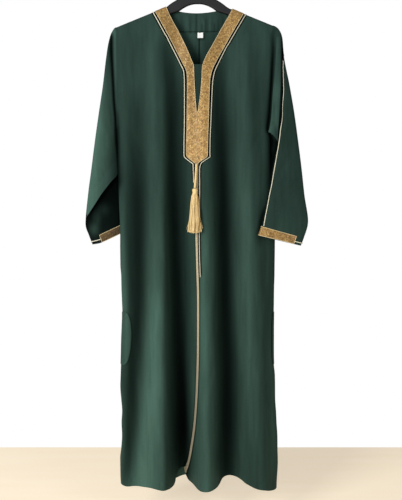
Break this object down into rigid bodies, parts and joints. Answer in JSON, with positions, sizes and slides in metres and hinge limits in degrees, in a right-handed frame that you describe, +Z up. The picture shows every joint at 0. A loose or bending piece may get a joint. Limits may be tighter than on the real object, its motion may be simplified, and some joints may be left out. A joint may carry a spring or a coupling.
{
  "type": "moroccan kaftan and its hanger",
  "caption": "Long-sleeved moroccan kaftan with a slit V neck, woven braid bands, fine cords and a tassel, hanging on a moulded plastic hanger.",
  "frame": {"origin": "the inner crown of the hanger's hook, where the rod touches it", "axes": "+Z up, -Y the way the garment's front faces, +X the wearer's left"},
  "size_m": [0.6374, 0.1352, 1.5081],
  "materials": {
    "crepe": "satin",
    "galloon": "woven",
    "cream_cord": "twisted",
    "gold_thread": "silky",
    "hanger_plastic": "matte",
    "label": "matte"
  },
  "bodies": {
    "root": {"front_right": "crepe", "front_left": "crepe", "back_right": "crepe", "back_left": "crepe", "sleeve_right": "crepe", "sleeve_left": "crepe", "slit_underlap": "crepe", "back_neck_facing": "crepe", "pocket_right": "crepe", "pocket_left": "crepe", "neck_band_right": "galloon", "neck_band_left": "galloon", "cuff_band_right": "galloon", "cuff_band_left": "galloon", "front_braid": "gold_thread", "neck_cord_right": "cream_cord", "neck_cord_left": "cream_cord", "sleeve_cord_right": "cream_cord", "sleeve_cord_left": "cream_cord", "cuff_cord_right": "cream_cord", "cuff_cord_left": "cream_cord", "tassel_cord": "gold_thread", "tassel": "gold_thread", "neck_label": "label", "hanger": "hanger_plastic"}
  },
  "joints": []
}
